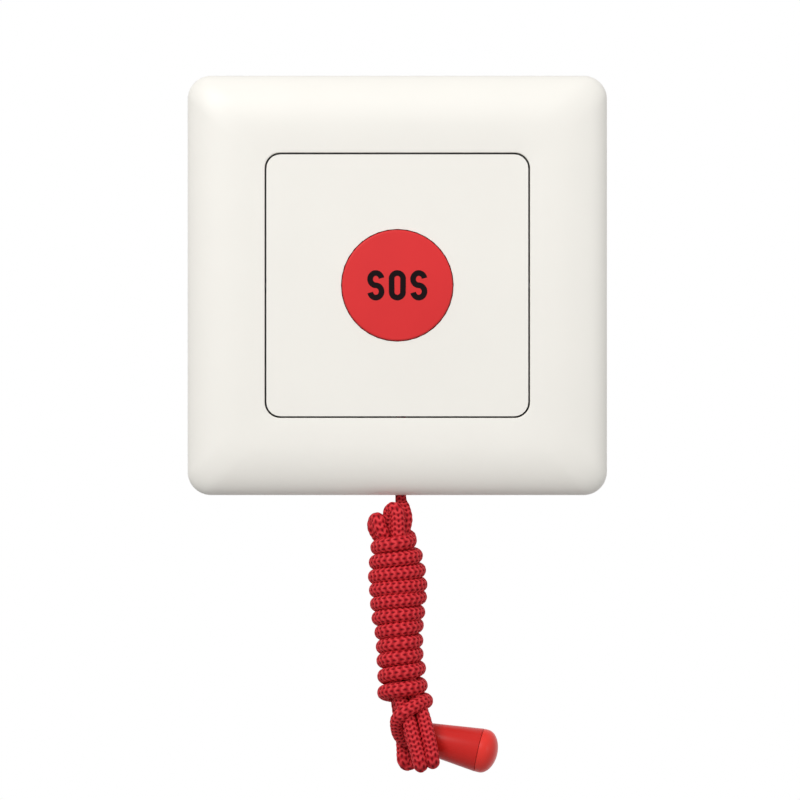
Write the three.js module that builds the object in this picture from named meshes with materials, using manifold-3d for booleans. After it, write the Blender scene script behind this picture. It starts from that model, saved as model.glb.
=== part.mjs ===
// Emergency call button: a square wall plate with a round push button in its centre panel,
// and a pull cord wound in a hank, with a conical knob on its end.
// Millimetres. X runs right, Y into the wall and Z up. The origin is the plate's centre on the wall.

import * as THREE from "three";
import { mergeVertices } from "three/addons/utils/BufferGeometryUtils.js";
import Module from "manifold-3d";

const wasm = await Module();
wasm.setup();

// Driving dimensions

const clearance = 0.3; // between two pieces that seat on each other
const weld = 0.2; // how far a moulded feature reaches into the wall that carries it

// Front frame
const plateSize = 86;
const plateDepth = 12.5;
const plateCorner = 4.8;
const landWidth = 5.3; // the flat band between the panel and the crown
const crownHeight = 5.5;
const crownSteps = 8;
const cornerSteps = 5;
const frameWall = 2;
const lipDepth = 4.5;
const lipWall = 1.6;
const ribThickness = 1;
const ribDepth = 3.3; // from the frame's inner face to the back of a rib
const ribPlaces = [-24, -8, 8, 24];
const hookPlace = 22;
const hookWidth = 6;
const hookReach = 0.9;
const hookLength = 2;
const hookFromWall = 2.6;

// Centre panel
const panelSize = 53.65;
const panelCorner = 2.85;
const panelGap = 0.35; // the dark line between panel and frame
const panelThickness = 2;
const skirtDepth = 3.5;
const skirtWall = 1.4;
const collarDepth = 3.2;
const collarWall = 1.2;
const legInset = 6.8; // from the panel's edge to the middle of a leg
const legWidth = 5;
const legThickness = 1.2;
const barbReach = 0.8;
const barbLength = 1.5;

// Push button
const buttonDiameter = 22.5;
const buttonProud = 0.4;
const buttonEdge = 0.4;
const buttonTravel = 2.5;
const buttonCap = 1.6;
const buttonFlangeReach = 0.85;
const buttonFlange = 1.2;
const buttonSkirt = 1.5;
const buttonSkirtWall = 1.5;
const stemRadius = 2.2;
const stemNoseRadius = 0.6;
const stemNose = 1.5;
const springBossHeight = 0.7;

// Return spring of the button
const springRadius = 4.2;
const springWire = 0.4;
const springTurns = 5;
const springCupWall = 1;
const springCupHeight = 1.2;

// Mounting yoke
const yokeThickness = 2;
const seatHeight = 0.4;
const seatSize = 8;
const seatInset = 1.2;
const rimWall = 1.6;
const rimDepth = 4.1;
const yokeCorner = 3.4;
const stemGuideWall = 1.9;
const stemGuideLength = 1.9;
const stopRadius = 1.2;
const stopCount = 3;
const fixingPitch = 60.3;
const fixingSlotRadius = 2.2;
const fixingSlotLength = 7;

// Fixing screws into the wall box
const fixingShank = 1.8;
const fixingHead = 3.5;
const fixingHeadHeight = 2.4;
const fixingLength = 25;

// Rear housing
const housingWall = 1.6;
const housingCorner = 3;
const housingDepth = 21;
const housingLegGap = 1.4;
const earInset = 5.5; // from the housing's side to the middle of an ear
const earReach = 2.6;
const earRadius = 3.2;
const earThickness = 1.8;
const earScrewShank = 0.95;
const earScrewHead = 2.1;
const earScrewHeadHeight = 1.6;
const earScrewLength = 6.2;
const bossWall = 1.35;
const bossHeight = 2.6;

// Circuit board
const boardFront = 13;
const boardThickness = 1.6;
const boardPostInset = 3;
const boardPostRadius = 2.2;
const boardPegRadius = 1;
const boardPegRise = 0.6;

// Lever switches
const switchLength = 12.8;
const switchWidth = 5.8;
const switchFront = 6.2;
const switchHoleRadius = 1.1;
const leafArm = 9; // from the leaf's pin to the point that is pressed
const leafOverhang = 2.2;
const leafThickness = 0.4;
const leafWidth = 3.4;
const leafBarrel = 0.3;
const leafRestGap = 0.35; // between the pressed leaf and the switch
const contactGap = 0.45; // between a presser and its leaf
const leafPinInset = 1;
const switchCheek = 0.6;
const switchCheekHalf = 0.9;
const plungerArm = 4;
const plungerRadius = 0.7;
const plungerNose = 0.3;
const plungerLength = 2.5;
const plungerGap = 0.35;

// Pull mechanism
const cordDiameter = 2.8;
const cordX = 0.7;
const cordY = -4.2;
const pivotY = 3;
const pivotZ = -20;
const crankSwing = 10; // degrees to each side of level
const crankPress = 6; // length of the arm that presses the switch
const crankPadRadius = 0.96;
const crankArmWidth = 2.8;
const crankArmThickness = 1.6;
const crankPressWidth = 1.8;
const crankPressThickness = 1.1;
const crankRingWall = 1.6;
const crankHoleClearance = 0.6;
const crankHubRadius = 2.6;
const crankSleeveRadius = 2;
const crankHubLength = 7.2;
const crankPinRadius = 1.2;
const crankPinHead = 0.6;
const cheekThickness = 1.8;
const cheekRadius = 2.6;
const torsionRadius = 2.7;
const torsionWire = 0.3;
const torsionPitch = 0.64;
const torsionTurns = 2;
const torsionLeg = 5;
const topKnotRadius = 2.9;
const topKnotGap = 0.6;

// Cord bush in the lower edge
const bushWall = 0.6;
const bushFlangeReach = 0.7;
const bushFlangeHeight = 1.2;
const bushInset = 0.2;
const bushRound = 0.3;

// Terminal block
const terminalPitch = 6;
const terminalCount = 3;
const terminalEndWall = 0.3;
const terminalDepth = 12.6;
const terminalLow = 4;
const terminalHeight = 9;
const terminalCageWidth = 3.8;
const terminalCageHeight = 4;
const terminalCageDepth = 4.4;
const terminalCageWall = 0.7;
const terminalCageFromBack = 2.2; // from the block's rear face to the cage
const terminalWireRadius = 1.4;
const terminalScrewShank = 0.85;
const terminalScrewHead = 1.5;
const terminalScrewHeadHeight = 1.4;
const terminalScrewLength = 2;

// Pull knob on the cord's end
const knobNarrow = 6.33;
const knobWide = 9;
const knobLength = 11.66;
const knobWall = 1.2;
const knobDip = 12.8; // degrees below level
const knobLean = 4; // degrees towards the room
const capBand = 0.8;
const capDome = 2.95;
const capPlugLength = 2.2;
const capPlugWall = 1;
const knobKnotRadius = 2.25;
const knobKnotPlace = 5;

// Hank, measured from the point where the cord leaves the lower edge
const hankFront = -12.8;
const hankBack = -0.8;
const hankLoopsFront = -12.4;
const hankLoopsBack = -8.2;
const hankRound = 1.8;
const hankOutline = [
  [0, -2.9],
  [2.3, -5.4],
  [3.3, -10.1],
  [4.8, -17.5],
  [4.3, -26],
  [4.3, -36],
  [5.3, -41],
  [3.6, -45.4],
  [0, -46.2],
  [-3.4, -44],
  [-4.6, -39],
  [-4.8, -33],
  [-6.2, -22.4],
  [-6, -10.1],
  [-5.6, -5.6],
  [-3, -3.1],
];
const loopsOutline = [
  [4.2, -44.2],
  [6.6, -47.6],
  [7.3, -52],
  [6.2, -55.6],
  [3.4, -56.9],
  [0.4, -55.4],
  [-0.6, -51.5],
  [0, -47],
  [1.8, -44.4],
];
const hankGap = 0.35;
const tailStart = [0.9, 0.4, -46.95];
const tailBend = [
  [1.6, 0.35, -48.4],
  [3.2, 0.28, -49.35],
];
const knobEnd = [4.77, 0.17, -49.75];

// Sizes that follow

const plateHalf = plateSize / 2;
const plateFront = -plateDepth;
const sideDepth = plateDepth - crownHeight;
const frameInner = plateHalf - frameWall;
const frontInner = plateFront + frameWall;
const openingHalf = panelSize / 2 + panelGap;
const crownStart = openingHalf + landWidth;
const crownWidth = plateHalf - crownStart;
const openingCorner = panelCorner + panelGap;
const lipBack = plateFront + lipDepth;
const lipHalf = openingHalf + lipWall;
const ribBack = frontInner + ribDepth;

const panelHalf = panelSize / 2;
const panelBack = plateFront + panelThickness;
const legOuter = panelHalf - skirtWall - clearance;
const legPlace = panelHalf - legInset;
const legInner = legOuter - legThickness;

const yokeRear = -seatHeight;
const yokeFront = yokeRear - yokeThickness;
const rimFront = yokeFront - rimDepth;
const rimOuter = frameInner - clearance - 0.1;
const rimInner = rimOuter - rimWall;

const buttonRadius = buttonDiameter / 2;
const buttonFace = plateFront - buttonProud;
const buttonInner = buttonFace + buttonCap;
const flangeFront = panelBack + clearance;
const flangeBack = flangeFront + buttonFlange;
const buttonBack = flangeBack + buttonSkirt;
const flangeRadius = buttonRadius + buttonFlangeReach;
const collarInner = flangeRadius + clearance + 0.1;
const springBossRadius = springRadius - springWire - clearance - 0.2;

const leafPinY = switchFront - leafRestGap - leafThickness / 2;
const pressedFace = leafPinY - leafThickness / 2 - contactGap;
const stemTip = pressedFace - buttonTravel;

const swing = THREE.MathUtils.degToRad(crankSwing);
const cordRadius = cordDiameter / 2;
const crankArm = (2 * (pivotY - cordY)) / (1 + Math.cos(swing));
const crankTravel = 2 * crankPress * Math.sin(swing);
const crankHoleRadius = cordRadius + crankHoleClearance;
const crankRingRadius = crankHoleRadius + crankRingWall;
const cheekInner = crankHubLength / 2 + clearance;
const cheekOuter = cheekInner + cheekThickness;
const armTopZ = pivotZ + crankArm * Math.sin(swing) + (crankArmThickness / 2) * Math.cos(swing);
const knotRise = Math.sqrt((topKnotRadius + topKnotGap) ** 2 - crankHoleRadius ** 2);
const topKnotZ = armTopZ + knotRise;
const cordTopZ = topKnotZ - topKnotRadius - clearance;
const cordSwitchZ = pivotZ - crankPress + 0.8;

const housingFront = yokeRear + clearance;
const housingHalfX = legInner - housingLegGap;
const housingHalfZ = -cordSwitchZ + switchWidth / 2 + clearance + housingWall;
const housingFloor = housingDepth - housingWall;
const earZ = housingHalfZ + earReach;
const earPlace = housingHalfX - earInset;
const boardBack = boardFront + boardThickness;
const postX = housingHalfX - housingWall - boardPostInset;
const postZ = housingHalfZ - housingWall - boardPostInset;

const bushBore = cordRadius + clearance;
const bushRadius = bushBore + bushWall;
const bushFlange = bushRadius + bushFlangeReach;
const bushSlot = bushRadius + clearance;
const cordExit = new THREE.Vector3(cordX, cordY, -plateHalf);

const terminalFront = boardBack + clearance;
const terminalBack = terminalFront + terminalDepth;
const terminalHalf = (terminalPitch * terminalCount) / 2 + terminalEndWall;
const cageBack = terminalBack - terminalCageFromBack;
const cageFront = cageBack - terminalCageDepth;
const cageZ = terminalLow + terminalHeight / 2;

// Materials

function plastic(color, roughness = 0.4) {
  return new THREE.MeshStandardMaterial({ color, roughness, metalness: 0 });
}

function metal(color, roughness = 0.35) {
  return new THREE.MeshStandardMaterial({ color, roughness, metalness: 1 });
}

const ivory = plastic(0xf3f1e9, 0.35);
const redButton = plastic(0xe0393d, 0.4);
const redKnob = plastic(0xcc3630, 0.3);
const redCord = plastic(0xc41f28, 0.85);
const greyNylon = plastic(0xd9d9d6, 0.5);
const blackPlastic = plastic(0x1d1d1f, 0.45);
const boardGreen = plastic(0x1f5f38, 0.5);
const terminalGreen = plastic(0x2f8f4e, 0.45);
const steel = metal(0xc3c6ca);
const brass = metal(0xc9a55a);

// Shape helpers

// A shape drawn in X and Z, as thick as the space between two depths.
function slab(shape, yFront, yBack) {
  const geometry = new THREE.ExtrudeGeometry(shape, { depth: yBack - yFront, bevelEnabled: false });
  return geometry.rotateX(Math.PI / 2).translate(0, yBack, 0);
}

// A shape drawn in Y and Z, as thick as the space between two places along X.
function sideSlab(shape, xLow, xHigh) {
  const geometry = new THREE.ExtrudeGeometry(shape, { depth: xHigh - xLow, bevelEnabled: false });
  const turn = new THREE.Matrix4().makeBasis(
    new THREE.Vector3(0, 1, 0),
    new THREE.Vector3(0, 0, 1),
    new THREE.Vector3(1, 0, 0),
  );
  return geometry.applyMatrix4(turn).translate(xLow, 0, 0);
}

// A box between two opposite corners.
function block(low, high) {
  const size = high.map((value, i) => value - low[i]);
  const middle = high.map((value, i) => (value + low[i]) / 2);
  return new THREE.BoxGeometry(...size).translate(...middle);
}

// Round rods along each axis, centred on a point of the other two.
function rodX(radius, low, high, y, z, sides = 14) {
  const geometry = new THREE.CylinderGeometry(radius, radius, high - low, sides);
  return geometry.rotateZ(Math.PI / 2).translate((low + high) / 2, y, z);
}

function rodY(radius, low, high, x, z, sides = 14) {
  const geometry = new THREE.CylinderGeometry(radius, radius, high - low, sides);
  return geometry.translate(x, (low + high) / 2, z);
}

function rodZ(radius, low, high, x, y, sides = 14) {
  const geometry = new THREE.CylinderGeometry(radius, radius, high - low, sides);
  return geometry.rotateX(Math.PI / 2).translate(x, y, (low + high) / 2);
}

// A body turned about Y. Its profile lists radius and height, from low to high outside.
function turned(profile, sides = 24) {
  return new THREE.LatheGeometry(
    profile.map(([radius, height]) => new THREE.Vector2(radius, height)),
    sides,
  );
}

// Points of an arc about a centre, from one angle to another.
function arc(x, y, radius, from, to, steps) {
  return Array.from({ length: steps + 1 }, (_, i) => {
    const angle = from + ((to - from) * i) / steps;
    return new THREE.Vector2(x + radius * Math.cos(angle), y + radius * Math.sin(angle));
  });
}

function roundedRect(halfX, halfZ, radius, steps = 5) {
  const quarter = Math.PI / 2;
  const points = [[1, 1], [-1, 1], [-1, -1], [1, -1]].flatMap(([sx, sz], i) =>
    arc(sx * (halfX - radius), sz * (halfZ - radius), radius, i * quarter, (i + 1) * quarter, steps),
  );
  return new THREE.Shape(points);
}

// A slot with round ends: the centres of its ends and its radius.
function capsule(x, zLow, zHigh, radius, steps = 8) {
  return new THREE.Shape([
    ...arc(x, zHigh, radius, 0, Math.PI, steps),
    ...arc(x, zLow, radius, Math.PI, 2 * Math.PI, steps),
  ]);
}

function circle(x, y, radius, sides = 36) {
  return new THREE.Shape(arc(x, y, radius, 0, 2 * Math.PI, sides).slice(0, -1));
}

function withHoles(shape, ...holes) {
  shape.holes.push(...holes);
  return shape;
}

// Solid helpers

const mergeDistance = 1e-4;

function solid(geometry) {
  const bare = new THREE.BufferGeometry();
  bare.setAttribute("position", geometry.getAttribute("position").clone());
  if (geometry.index) bare.setIndex(geometry.index.clone());
  const merged = mergeVertices(bare, mergeDistance);
  const triangles = [];
  for (let i = 0; i < merged.index.count; i += 3) {
    const [a, b, c] = [0, 1, 2].map((corner) => merged.index.getX(i + corner));
    if (a !== b && b !== c && c !== a) triangles.push(a, b, c);
  }
  return new wasm.Manifold(
    new wasm.Mesh({
      numProp: 3,
      vertProperties: merged.getAttribute("position").array,
      triVerts: new Uint32Array(triangles),
    }),
  );
}

function geometryOf(body) {
  const { numProp, numVert, vertProperties, triVerts } = body.getMesh();
  const positions = new Float32Array(numVert * 3);
  for (let i = 0; i < numVert; i += 1) {
    positions.set(vertProperties.subarray(i * numProp, i * numProp + 3), i * 3);
  }
  const geometry = new THREE.BufferGeometry();
  geometry.setAttribute("position", new THREE.BufferAttribute(positions, 3));
  geometry.setIndex(new THREE.BufferAttribute(new Uint32Array(triVerts), 1));
  geometry.computeVertexNormals();
  return geometry;
}

function join(...geometries) {
  return geometries.map(solid).reduce((a, b) => a.add(b));
}

function cut(body, ...geometries) {
  return geometries.map(solid).reduce((a, b) => a.subtract(b), body);
}

function piece(name, geometry, material) {
  const mesh = new THREE.Mesh(geometry, material);
  mesh.name = name;
  return mesh;
}

const bothSides = [-1, 1];
const corners = bothSides.flatMap((sx) => bothSides.map((sz) => [sx, sz]));

// Front frame

// The frame's corners open out from the panel's radius to the plate's.
function frameCorner(half) {
  const share = (half - openingHalf) / (plateHalf - openingHalf);
  return openingCorner + (plateCorner - openingCorner) * share;
}

// A rounded square in X and Z at one depth, as a ring of points.
function squareLoop(half, y) {
  const radius = frameCorner(half);
  const points = [];
  for (let corner = 0; corner < 4; corner += 1) {
    const start = (corner * Math.PI) / 2;
    const turn = start + Math.PI / 4;
    const x = Math.sign(Math.cos(turn)) * (half - radius);
    const z = Math.sign(Math.sin(turn)) * (half - radius);
    for (let step = 0; step <= cornerSteps; step += 1) {
      const angle = start + (step / cornerSteps) * (Math.PI / 2);
      points.push(x + radius * Math.cos(angle), y, z + radius * Math.sin(angle));
    }
  }
  return points;
}

// A closed section of [half size, depth] points, carried round the square.
function squareLoft(section) {
  const loops = section.map(([half, y]) => squareLoop(half, y));
  const size = loops[0].length / 3;
  const indices = [];
  loops.forEach((_, i) => {
    const here = i * size;
    const next = ((i + 1) % loops.length) * size;
    for (let j = 0; j < size; j += 1) {
      const k = (j + 1) % size;
      indices.push(here + j, next + k, next + j, here + j, here + k, next + k);
    }
  });
  const geometry = new THREE.BufferGeometry();
  geometry.setAttribute("position", new THREE.Float32BufferAttribute(loops.flat(), 3));
  geometry.setIndex(indices);
  return geometry;
}

// The crown's quarter ellipse, from the side of the frame to its front.
function crown(width, height, steps = crownSteps) {
  return Array.from({ length: steps + 1 }, (_, i) => {
    const angle = (i / steps) * (Math.PI / 2);
    return [crownStart + width * Math.cos(angle), -sideDepth - height * Math.sin(angle)];
  });
}

function frameSection() {
  return [
    [plateHalf, 0],
    ...crown(crownWidth, crownHeight),
    [openingHalf, plateFront],
    [openingHalf, lipBack],
    [lipHalf, lipBack],
    [lipHalf, frontInner],
    ...crown(crownWidth - frameWall, crownHeight - frameWall).reverse(),
    [frameInner, 0],
  ];
}

// A rib stands in the hollow between the lip and the outer wall, on the upper side.
function frameRib(x) {
  const middle = frameWall / 2;
  const outline = [
    [ribBack, lipHalf - weld],
    [frontInner - middle, lipHalf - weld],
    ...crown(crownWidth - middle, crownHeight - middle, crownSteps / 2)
      .reverse()
      .map(([half, y]) => [y, half]),
  ].map(([y, z]) => new THREE.Vector2(Math.min(y, ribBack), z));
  return sideSlab(new THREE.Shape(outline), x - ribThickness / 2, x + ribThickness / 2);
}

// Snap hooks on the two side walls catch the yoke's rim.
function frameHook(side, place) {
  const outline = [
    [frameInner + weld, -hookFromWall],
    [frameInner - hookReach, -hookFromWall],
    [frameInner + weld, -hookFromWall - hookLength],
  ].map(([x, y]) => new THREE.Vector2(side * x, y));
  const settings = { depth: hookWidth, bevelEnabled: false };
  const hook = new THREE.ExtrudeGeometry(new THREE.Shape(outline), settings);
  return hook.translate(0, 0, place - hookWidth / 2);
}

// The slot that lets the frame slide over the cord bush from the front.
function bushSlotIn(zLow, zHigh, yOpen) {
  const ySides = [cordY, yOpen].sort((a, b) => a - b);
  return join(
    rodZ(bushSlot, zLow, zHigh, cordX, cordY, 24),
    block([cordX - bushSlot, ySides[0], zLow], [cordX + bushSlot, ySides[1], zHigh]),
  );
}

function frontFrame() {
  const ribs = [0, 1, 2, 3].flatMap((quarter) =>
    ribPlaces.map((x) => frameRib(x).rotateY((quarter * Math.PI) / 2)),
  );
  const hooks = corners.map(([side, end]) => frameHook(side, end * hookPlace));
  const body = join(squareLoft(frameSection()), ...ribs, ...hooks);
  const slot = bushSlotIn(-plateHalf - 1, -frameInner + clearance, 1);
  return piece("front_frame", geometryOf(body.subtract(slot)), ivory);
}

// Centre panel

function panelLeg(sx, sz) {
  const z = sz * legPlace;
  const barbFront = yokeRear + clearance;
  const outline = [
    [legInner, panelBack - weld],
    [legOuter, panelBack - weld],
    [legOuter, barbFront],
    [legOuter + barbReach, barbFront],
    [legOuter, barbFront + barbLength],
    [legInner, barbFront + barbLength],
  ].map(([x, y]) => new THREE.Vector2(sx * x, y));
  const settings = { depth: legWidth, bevelEnabled: false };
  const leg = new THREE.ExtrudeGeometry(new THREE.Shape(outline), settings);
  return leg.translate(0, 0, z - legWidth / 2);
}

function centrePanel() {
  const skirtInner = panelHalf - skirtWall;
  const face = withHoles(
    roundedRect(panelHalf, panelHalf, panelCorner),
    circle(0, 0, buttonRadius + clearance),
  );
  const skirt = withHoles(
    roundedRect(panelHalf, panelHalf, panelCorner),
    roundedRect(skirtInner, skirtInner, panelCorner - skirtWall / 2),
  );
  const collar = withHoles(circle(0, 0, collarInner + collarWall), circle(0, 0, collarInner));
  const body = join(
    slab(face, plateFront, panelBack),
    slab(skirt, panelBack - weld, panelBack + skirtDepth),
    slab(collar, panelBack - weld, panelBack + collarDepth),
    ...corners.map(([sx, sz]) => panelLeg(sx, sz)),
  );
  return piece("centre_panel", geometryOf(body), ivory);
}

// Push button

function pushButton() {
  const inner = buttonRadius - buttonSkirtWall;
  const edge = [2, 1].map((i) => {
    const angle = (i / 3) * (Math.PI / 2);
    const radius = buttonRadius - buttonEdge + buttonEdge * Math.sin(angle);
    return [radius, buttonFace + buttonEdge - buttonEdge * Math.cos(angle)];
  });
  const profile = [
    [0, buttonFace],
    [buttonRadius - buttonEdge, buttonFace],
    ...edge.reverse(),
    [buttonRadius, buttonFace + buttonEdge],
    [buttonRadius, flangeFront],
    [flangeRadius, flangeFront],
    [flangeRadius, flangeBack],
    [buttonRadius, flangeBack],
    [buttonRadius, buttonBack],
    [inner, buttonBack],
    [inner, buttonInner],
    [springBossRadius, buttonInner],
    [springBossRadius, buttonInner + springBossHeight],
    [stemRadius, buttonInner + springBossHeight],
    [stemRadius, stemTip - stemNose],
    [stemNoseRadius, stemTip],
    [0, stemTip],
  ];
  return piece("push_button", turned(profile, 36), redButton);
}

// Springs are a round wire along a path.

class PointPath extends THREE.Curve {
  constructor(place) {
    super();
    this.place = place;
  }

  getPoint(t, target = new THREE.Vector3()) {
    return target.copy(this.place(t));
  }
}

function wire(path, radius, steps, sides = 6) {
  const settings = { steps, extrudePath: path, bevelEnabled: false };
  return new THREE.ExtrudeGeometry(circle(0, 0, radius, sides), settings);
}

function buttonSpring() {
  const front = buttonInner + clearance + springWire;
  const back = yokeFront - clearance - springWire;
  const path = new PointPath((t) => {
    const angle = t * springTurns * 2 * Math.PI;
    return new THREE.Vector3(
      springRadius * Math.cos(angle),
      front + (back - front) * t,
      springRadius * Math.sin(angle),
    );
  });
  return piece("button_spring", wire(path, springWire, springTurns * 12), steel);
}

// Mounting yoke

// Two cheeks behind the yoke carry the crank's pin.
function crankCheek(side) {
  const outline = new THREE.Shape([
    new THREE.Vector2(yokeRear - weld, pivotZ - cheekRadius),
    ...arc(pivotY, pivotZ, cheekRadius, -Math.PI / 2, Math.PI / 2, 10),
    new THREE.Vector2(yokeRear - weld, pivotZ + cheekRadius),
  ]);
  const shape = withHoles(outline, circle(pivotY, pivotZ, crankPinRadius + clearance, 16));
  const ends = [side * cheekInner, side * cheekOuter].sort((a, b) => a - b);
  return sideSlab(shape, cordX + ends[0], cordX + ends[1]);
}

function yokeBosses() {
  const stops = Array.from({ length: stopCount }, (_, i) => {
    const angle = Math.PI / 2 + (i * 2 * Math.PI) / stopCount;
    const reach = buttonRadius - buttonSkirtWall / 2;
    const front = buttonBack + buttonTravel + clearance;
    const [x, z] = [reach * Math.cos(angle), reach * Math.sin(angle)];
    return rodY(stopRadius, front, yokeFront + weld, x, z, 12);
  });
  const screwBosses = corners.map(([sx, sz]) => {
    const radius = earScrewShank + clearance + bossWall;
    return rodY(radius, yokeFront - bossHeight, yokeFront + weld, sx * earPlace, sz * earZ);
  });
  const guide = rodY(stemRadius + clearance + stemGuideWall, yokeRear - weld,
    yokeRear + stemGuideLength, 0, 0, 24);
  const cupInner = springRadius + springWire + clearance;
  const cup = withHoles(circle(0, 0, cupInner + springCupWall), circle(0, 0, cupInner));
  return [...stops, ...screwBosses, guide, slab(cup, yokeFront - springCupHeight, yokeFront + weld)];
}

// The yoke's seats touch the wall. They are all that does, so that it doesn't rock.
function yokeSeat(sx, sz) {
  const far = rimOuter - seatInset;
  const near = far - seatSize;
  const [x0, x1] = [sx * near, sx * far].sort((a, b) => a - b);
  const [z0, z1] = [sz * near, sz * far].sort((a, b) => a - b);
  return block([x0, yokeRear - weld, z0], [x1, 0, z1]);
}

function yokeWindows() {
  const front = rimFront - 1;
  const back = pivotY;
  const armWindow = block(
    [cordX - cheekInner, yokeFront - 1, pivotZ - cheekRadius - 1.4],
    [cordX + cheekInner, yokeRear + 1, topKnotZ + topKnotRadius + 0.5],
  );
  const slots = bothSides.map((side) => {
    const reach = fixingSlotLength / 2 - fixingSlotRadius;
    const shape = capsule((side * fixingPitch) / 2, -reach, reach, fixingSlotRadius);
    return slab(shape, yokeFront - 1, yokeRear + 1);
  });
  const legWindows = corners.map(([sx, sz]) => {
    const xs = [legInner - clearance, legOuter + barbReach + clearance].map((x) => sx * x);
    const [x0, x1] = xs.sort((a, b) => a - b);
    const half = legWidth / 2 + clearance;
    return block([x0, yokeFront - 1, sz * legPlace - half], [x1, yokeRear + 1, sz * legPlace + half]);
  });
  const hookWindows = corners.map(([sx, sz]) => {
    const [x0, x1] = [sx * (rimInner - 1), sx * (rimOuter + 1)].sort((a, b) => a - b);
    const half = hookWidth / 2 + clearance;
    const yLow = -hookFromWall - hookLength - clearance;
    return block([x0, yLow, sz * hookPlace - half], [x1, -hookFromWall + clearance, sz * hookPlace + half]);
  });
  const screwHoles = corners.map(([sx, sz]) =>
    rodY(earScrewShank + clearance, front, back, sx * earPlace, sz * earZ, 12),
  );
  const stemHole = rodY(stemRadius + clearance, front, back, 0, 0, 20);
  const flangePocket = rodZ(bushFlange + clearance, -rimInner - weld,
    -rimInner + bushFlangeHeight + 2 * clearance, cordX, cordY, 24);
  return [armWindow, ...slots, ...legWindows, ...hookWindows, ...screwHoles, stemHole, flangePocket];
}

function yoke() {
  const rim = withHoles(
    roundedRect(rimOuter, rimOuter, yokeCorner),
    roundedRect(rimInner, rimInner, yokeCorner - rimWall / 2),
  );
  const plate = join(
    slab(roundedRect(rimOuter, rimOuter, yokeCorner), yokeFront, yokeRear),
    slab(rim, rimFront, yokeFront + weld),
    ...yokeBosses(),
    ...corners.map(([sx, sz]) => yokeSeat(sx, sz)),
  );
  const opened = cut(plate, ...yokeWindows());
  const slot = bushSlotIn(-rimOuter - 1, -rimInner + weld, rimFront - 1);
  const body = opened.subtract(slot).add(join(...bothSides.map(crankCheek)));
  return piece("mounting_yoke", geometryOf(body), greyNylon);
}

// Screws point along +Y, with the head's seat at the given depth.

function screw(name, { shank, head, headHeight, length }, material, sides = 16) {
  const slotHalf = head * 0.15;
  const slotDepth = headHeight * 0.45;
  const profile = [
    [0, -headHeight],
    [head * 0.6, -headHeight],
    [head, -headHeight * 0.6],
    [head, 0],
    [shank, 0],
    [shank, length - shank],
    [shank * 0.4, length],
    [0, length],
  ];
  const slot = block([-head, -headHeight - 1, -slotHalf], [head, -headHeight + slotDepth, slotHalf]);
  return piece(name, geometryOf(cut(solid(turned(profile, sides)), slot)), material);
}

function fixingScrews() {
  const sizes = {
    shank: fixingShank,
    head: fixingHead,
    headHeight: fixingHeadHeight,
    length: fixingLength,
  };
  return [["left", -1], ["right", 1]].map(([word, side]) => {
    const made = screw(`fixing_screw_${word}`, sizes, steel, 20);
    made.position.set((side * fixingPitch) / 2, yokeFront - clearance, 0);
    return made;
  });
}

function housingScrews() {
  const sizes = {
    shank: earScrewShank,
    head: earScrewHead,
    headHeight: earScrewHeadHeight,
    length: earScrewLength,
  };
  return corners.map(([sx, sz], i) => {
    const made = screw(`housing_screw_${i + 1}`, sizes, steel, 12);
    made.rotation.z = Math.PI;
    made.position.set(sx * earPlace, housingFront + earThickness + clearance, sz * earZ);
    return made;
  });
}

// Rear housing: an open box behind the yoke, screwed to it by four ears.

function rearHousing() {
  const inner = [housingHalfX - housingWall, housingHalfZ - housingWall];
  const shell = withHoles(
    roundedRect(housingHalfX, housingHalfZ, housingCorner),
    roundedRect(...inner, housingCorner - housingWall),
  );
  const ears = corners.map(([sx, sz]) => {
    const [low, high] = [sz * (housingHalfZ - housingWall / 2), sz * earZ].sort((a, b) => a - b);
    return slab(capsule(sx * earPlace, low, high, earRadius), housingFront, housingFront + earThickness);
  });
  const bodyWithEars = join(
    slab(roundedRect(housingHalfX, housingHalfZ, housingCorner), housingFront, housingDepth),
    ...ears,
  );
  const hollow = slab(shell.holes[0], housingFront - 1, housingFloor);
  const posts = corners.flatMap(([sx, sz]) => [
    rodY(boardPostRadius, boardBack + clearance, housingFloor + weld, sx * postX, sz * postZ),
    rodY(boardPegRadius, boardFront - boardPegRise, housingFloor, sx * postX, sz * postZ, 10),
  ]);
  const window = block(
    [-terminalHalf - clearance, housingFloor - 1, terminalLow - clearance],
    [terminalHalf + clearance, housingDepth + 1, terminalLow + terminalHeight + clearance],
  );
  const screwHoles = corners.map(([sx, sz]) =>
    rodY(earScrewShank + clearance, housingFront - 1, housingFront + earThickness + 1,
      sx * earPlace, sz * earZ, 12),
  );
  const body = cut(cut(bodyWithEars, hollow).add(join(...posts)), window, ...screwHoles);
  return piece("rear_housing", geometryOf(body), greyNylon);
}

function circuitBoard() {
  const halfX = housingHalfX - housingWall - clearance;
  const halfZ = housingHalfZ - housingWall - clearance;
  const holes = corners.map(([sx, sz]) => circle(sx * postX, sz * postZ, boardPegRadius + clearance, 12));
  const shape = withHoles(roundedRect(halfX, halfZ, housingCorner - housingWall), ...holes);
  return piece("circuit_board", slab(shape, boardFront, boardBack), boardGreen);
}

// Lever switches. The leaf turns about a pin along Z, and its free end faces the room at rest.

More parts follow.
